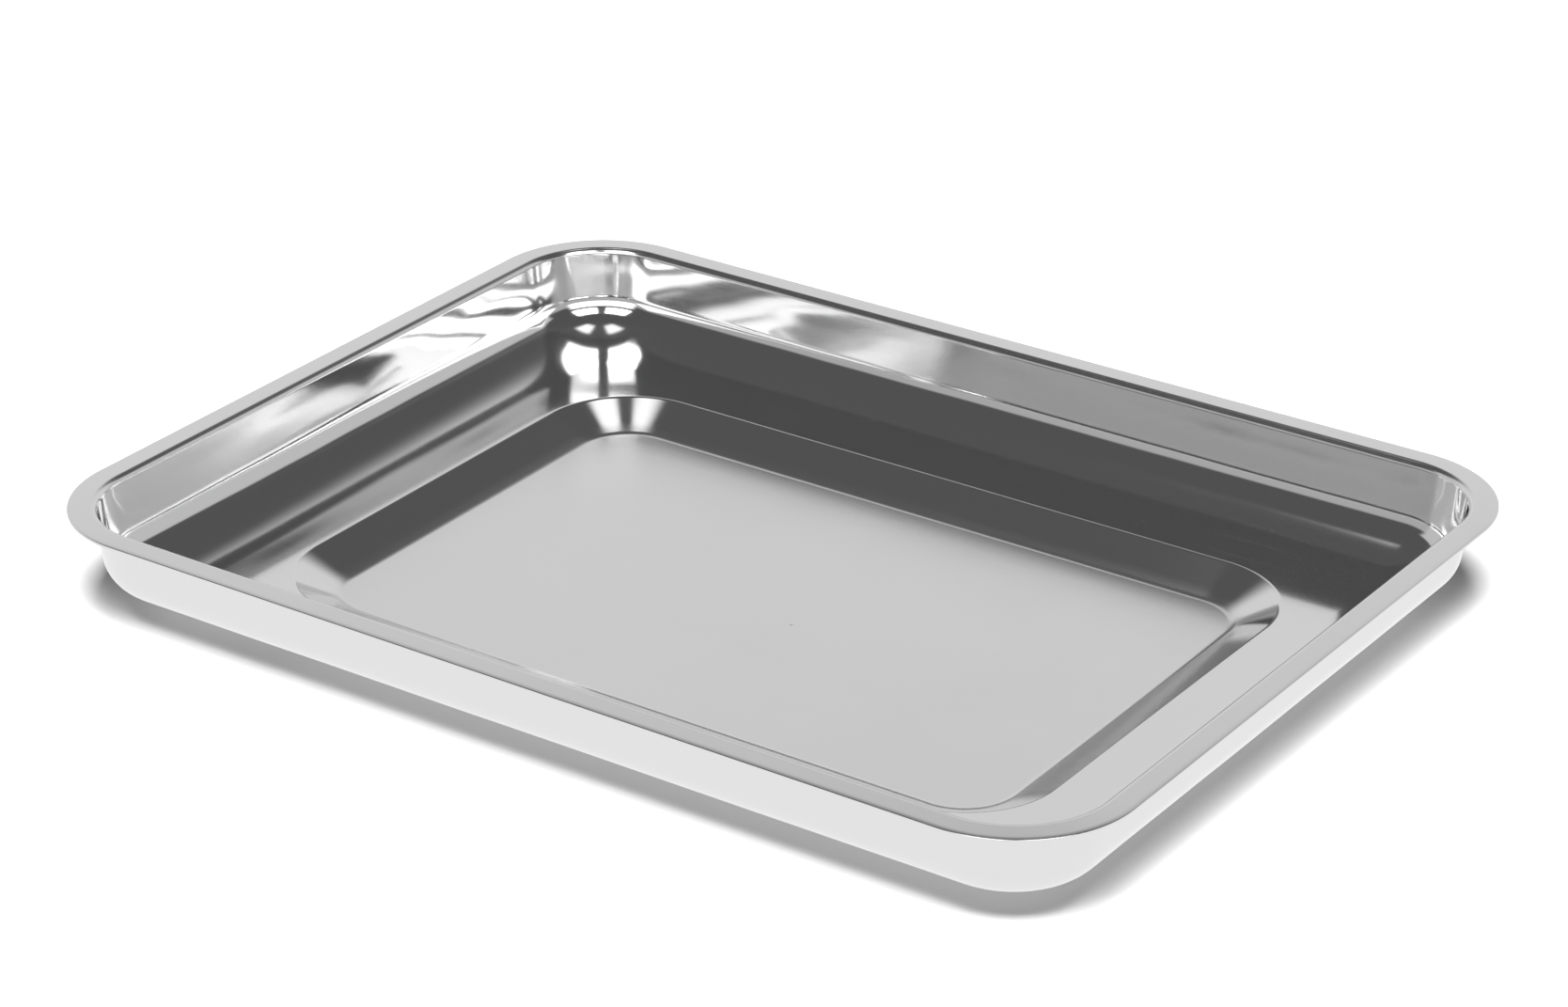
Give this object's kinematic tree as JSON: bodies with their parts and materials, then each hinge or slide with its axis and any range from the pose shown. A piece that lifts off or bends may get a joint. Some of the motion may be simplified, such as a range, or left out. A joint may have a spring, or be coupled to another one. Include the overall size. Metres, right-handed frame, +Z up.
{
  "type": "instrument tray",
  "caption": "Shallow rectangular instrument tray pressed from one polished stainless sheet, with a flat rim, rounded corners, a narrow ledge and a sunken flat floor.",
  "frame": {"origin": "middle of the footprint, on the surface the tray stands on", "axes": "+X along the long side, +Y along the short side towards the back, +Z up"},
  "size_m": [0.308, 0.235, 0.0314],
  "materials": {
    "steel": "polished, with fine satin brushing and light wear"
  },
  "bodies": {
    "root": {"tray": "steel"}
  },
  "joints": []
}
